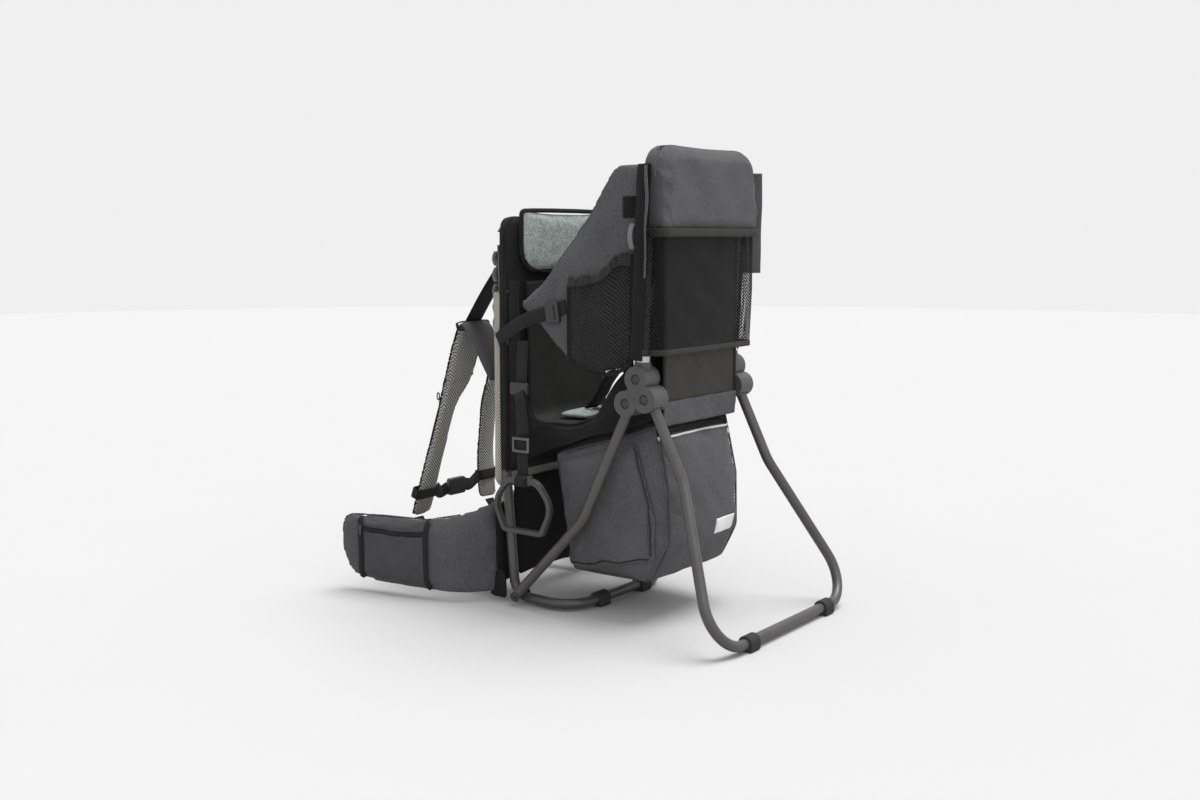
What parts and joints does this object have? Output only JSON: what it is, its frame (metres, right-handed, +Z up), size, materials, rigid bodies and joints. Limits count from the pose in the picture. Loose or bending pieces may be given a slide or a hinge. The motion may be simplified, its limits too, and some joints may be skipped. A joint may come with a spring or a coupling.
{
  "type": "baby carrier backpack",
  "caption": "Framed child carrier backpack with a fold-out kickstand, padded seat and headrest, storage bag, stirrups, shoulder straps and hip belt.",
  "frame": {"origin": "centre of the footprint on the floor the carrier stands on, midway between its left and right sides", "axes": "+X the wearer's right, +Y the way the wearer faces, +Z up"},
  "size_m": [0.4712, 0.7291, 0.72],
  "materials": {
    "frame_tube": "satin powder coat",
    "hub_plastic": "fine moulded texture",
    "rivet": "semi-gloss",
    "collar": "brushed",
    "rubber": "matte",
    "grey_fabric": "woven polyester, matte",
    "black_fabric": "woven polyester, matte",
    "black_net": "open diamond net",
    "grey_mesh": "spacer air mesh",
    "fleece": "soft brushed fleece",
    "webbing": "ribbed polypropylene webbing",
    "buckle_plastic": "satin moulded acetal",
    "button_plastic": "smooth moulded",
    "slide_metal": "satin",
    "hook_tape": "hook-and-loop tape",
    "zip_tape": "coil zip on woven tape",
    "zip_pull": "semi-gloss",
    "label": "smooth woven label"
  },
  "bodies": {
    "frame": {"back_frame_tube": "frame_tube", "base_tube": "frame_tube", "seat_frame_tube": "frame_tube", "side_strut_left": "frame_tube", "side_strut_right": "frame_tube", "hub_outer_left": "hub_plastic", "hub_inner_left": "hub_plastic", "hub_outer_right": "hub_plastic", "hub_inner_right": "hub_plastic", "hub_rivets": "rivet", "foot_rivets": "rivet", "tube_collars": "collar", "base_feet": "rubber", "side_wing_left": "grey_fabric", "side_wing_right": "grey_fabric", "headrest": "grey_fabric", "storage_bag": "grey_fabric", "bag_side_pockets": "grey_fabric", "canopy_flaps": "grey_fabric", "back_panel": "black_fabric", "lower_panel": "black_fabric", "seat_sling": "black_fabric", "seat_rear_panel": "black_fabric", "corner_guards": "black_fabric", "rear_mesh_pocket": "black_net", "side_mesh_pocket_left": "black_net", "side_mesh_pocket_right": "black_net", "back_mesh_pad": "grey_mesh", "lumbar_pad": "grey_mesh", "shoulder_strap_left": "grey_mesh", "shoulder_strap_right": "grey_mesh", "face_pad": "fleece", "seat_pad": "fleece", "load_lifters": "webbing", "strap_tails": "webbing", "sternum_strap": "webbing", "stirrup_webbing": "webbing", "wing_straps": "webbing", "harness_straps": "webbing", "crotch_strap": "webbing", "sternum_buckle": "buckle_plastic", "wing_sliders": "buckle_plastic", "stirrup_locks": "buckle_plastic", "harness_buckle": "buckle_plastic", "slide_rings": "slide_metal", "hook_patches": "hook_tape", "bag_zipper": "zip_tape", "bag_label": "label"},
    "kickstand": {"kickstand_tube": "frame_tube", "kickstand_feet": "rubber"},
    "hip_wing_left": {"hip_wing_left": "grey_fabric", "hip_pocket_left": "grey_fabric"},
    "hip_wing_right": {"hip_wing_right": "grey_fabric", "hip_pocket_right": "grey_fabric"},
    "belt_zip_left": {"belt_zip_pull_left": "zip_pull"},
    "belt_zip_right": {"belt_zip_pull_right": "zip_pull"},
    "stirrup_left": {"stirrup_left": "buckle_plastic"},
    "stirrup_right": {"stirrup_right": "buckle_plastic"},
    "bag_zip": {"bag_zip_pull": "zip_pull"},
    "harness_button": {"harness_button": "button_plastic"}
  },
  "joints": [
    {"name": "kickstand_fold", "type": "hinge", "parent": "frame", "child": "kickstand", "pos_m": [0, -0.185, 0.349], "axis": [1, 0, 0], "range_deg": [0, 44]},
    {"name": "hip_wing_left_swing", "type": "hinge", "parent": "frame", "child": "hip_wing_left", "pos_m": [-0.133, 0.11, 0.087], "axis": [0, 0, 1], "range_deg": [-20, 25]},
    {"name": "hip_wing_right_swing", "type": "hinge", "parent": "frame", "child": "hip_wing_right", "pos_m": [0.133, 0.11, 0.087], "axis": [0, 0, -1], "range_deg": [-20, 25]},
    {"name": "belt_zip_left_slide", "type": "slide", "parent": "hip_wing_left", "child": "belt_zip_left", "axis": [0.199, -0.98, 0], "range_m": [0, 0.105]},
    {"name": "belt_zip_right_slide", "type": "slide", "parent": "hip_wing_right", "child": "belt_zip_right", "axis": [-0.199, -0.98, 0], "range_m": [0, 0.105]},
    {"name": "stirrup_left_swing", "type": "hinge", "parent": "frame", "child": "stirrup_left", "pos_m": [-0.152, 0.036, 0.2065], "axis": [0, 1, 0], "range_deg": [0, 70]},
    {"name": "stirrup_right_swing", "type": "hinge", "parent": "frame", "child": "stirrup_right", "pos_m": [0.152, 0.036, 0.2065], "axis": [0, -1, 0], "range_deg": [0, 70]},
    {"name": "bag_zip_slide", "type": "slide", "parent": "frame", "child": "bag_zip", "axis": [1, 0, 0], "range_m": [0, 0.188]},
    {"name": "harness_button_press", "type": "slide", "parent": "frame", "child": "harness_button", "axis": [0, -1, 0], "range_m": [0, 0.003], "stiffness_N_per_m": 400}
  ]
}
